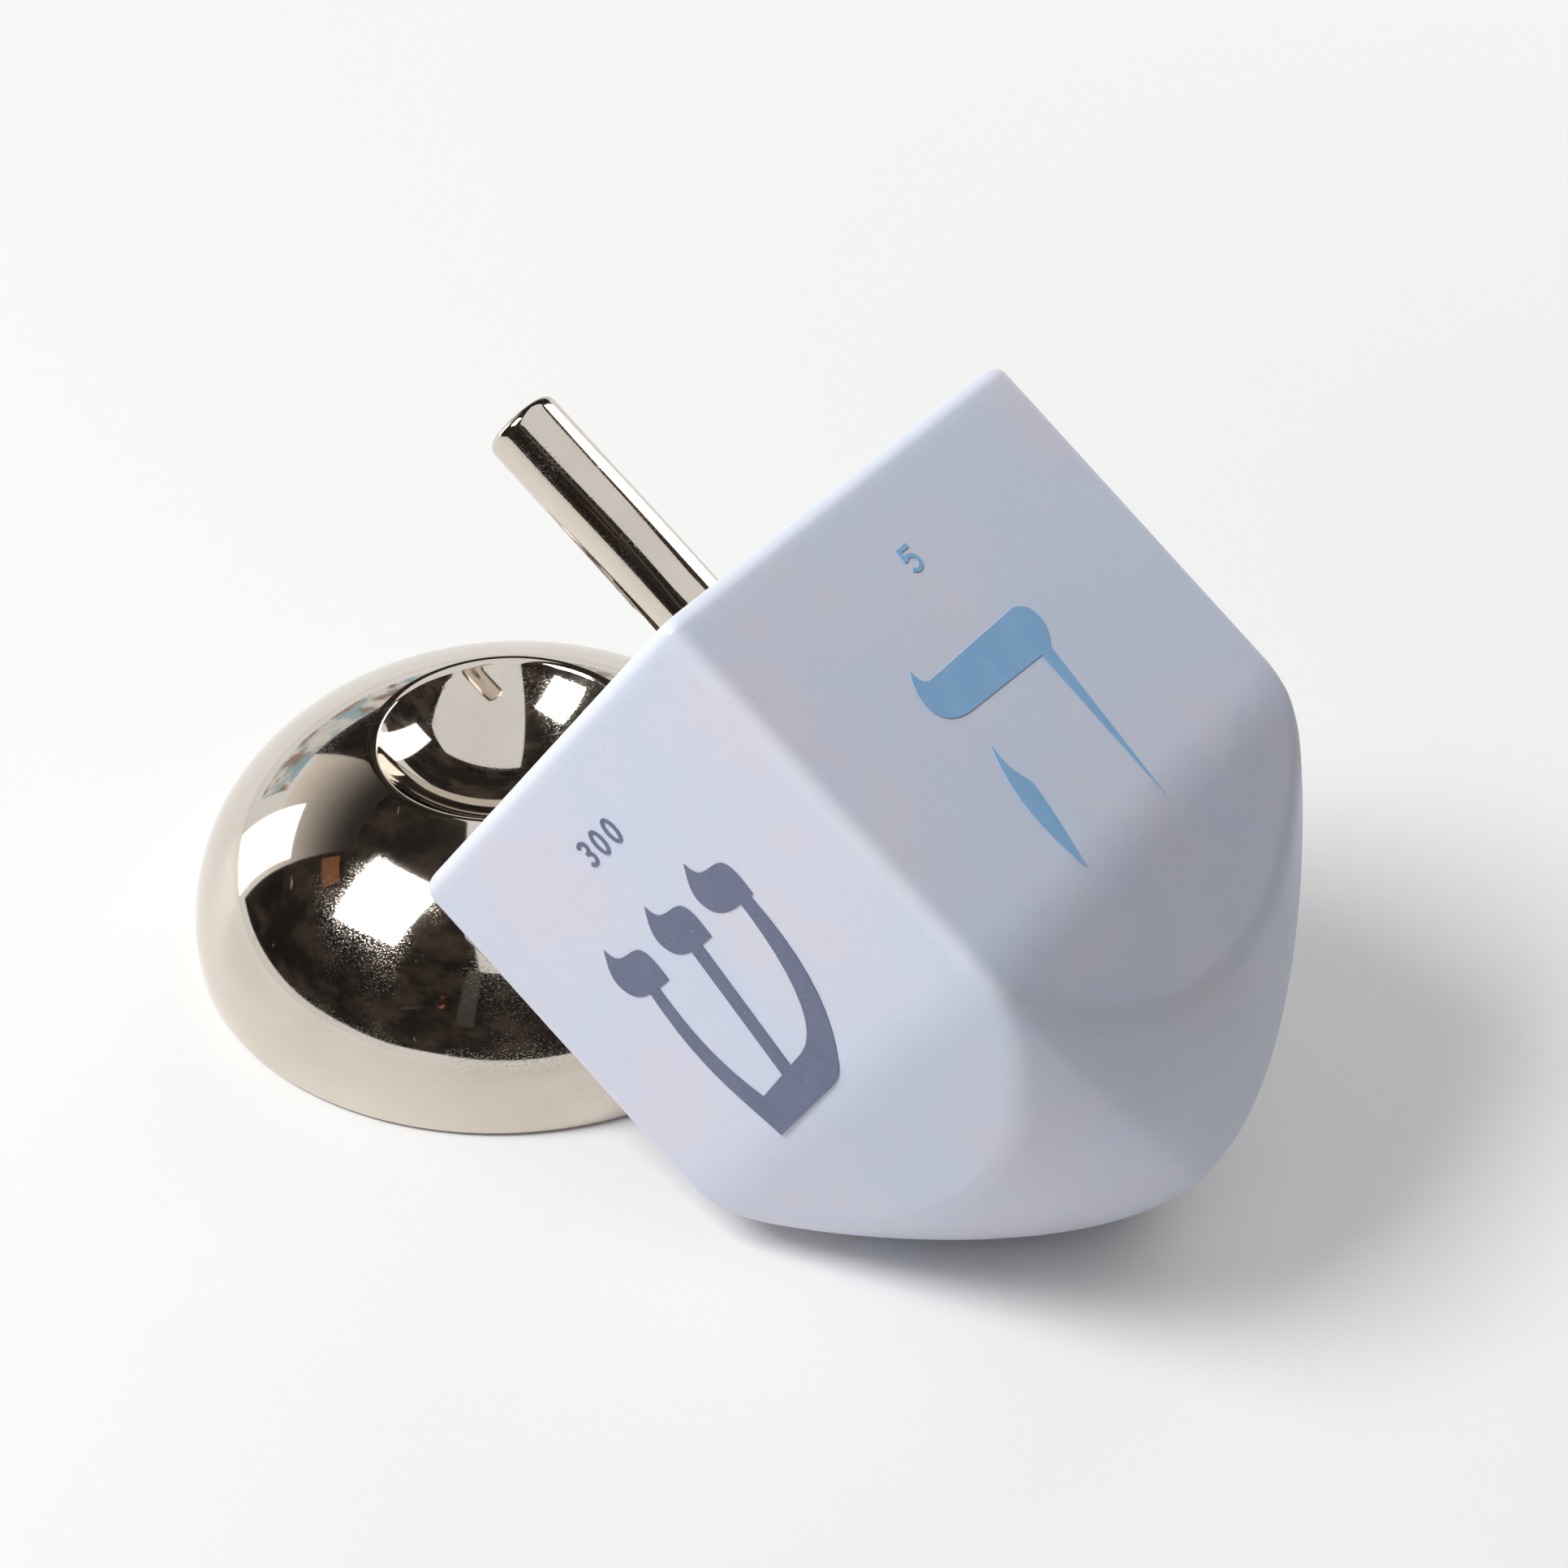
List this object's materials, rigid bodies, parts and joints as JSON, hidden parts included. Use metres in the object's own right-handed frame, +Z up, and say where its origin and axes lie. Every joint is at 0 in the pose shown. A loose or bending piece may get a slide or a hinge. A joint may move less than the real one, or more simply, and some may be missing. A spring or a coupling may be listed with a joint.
{
  "type": "dreidel",
  "caption": "Glazed ceramic dreidel with a lustred stem, leaning on a round lustred stand with a bowl in its top.",
  "frame": {"origin": "centre of the stand's foot, on the table", "axes": "+Z up out of the table; the dreidel leans on the stand from the side of +X and -Y"},
  "size_m": [0.1684, 0.1509, 0.1073],
  "materials": {
    "glaze": "satin glazed ceramic",
    "lustre": "platinum lustre fired on glazed ceramic",
    "sky_decal": "satin fired decal",
    "slate_decal": "satin fired decal",
    "resin": "cured adhesive"
  },
  "bodies": {
    "stand": {"stand_shell": "lustre"},
    "dreidel": {"body_shell": "glaze", "stem": "lustre", "stem_bond": "resin", "letter_nun": "sky_decal", "letter_gimel": "slate_decal", "letter_he": "sky_decal", "letter_shin": "slate_decal", "number_50": "sky_decal", "number_3": "slate_decal", "number_5": "sky_decal", "number_300": "slate_decal"}
  },
  "joints": [
    {"name": "dreidel_tilt", "type": "hinge", "parent": "stand", "child": "dreidel", "pos_m": [0.07958, -0.05817, 0.03507], "axis": [0.5736, 0.8192, 0], "range_deg": [0, 55]}
  ]
}
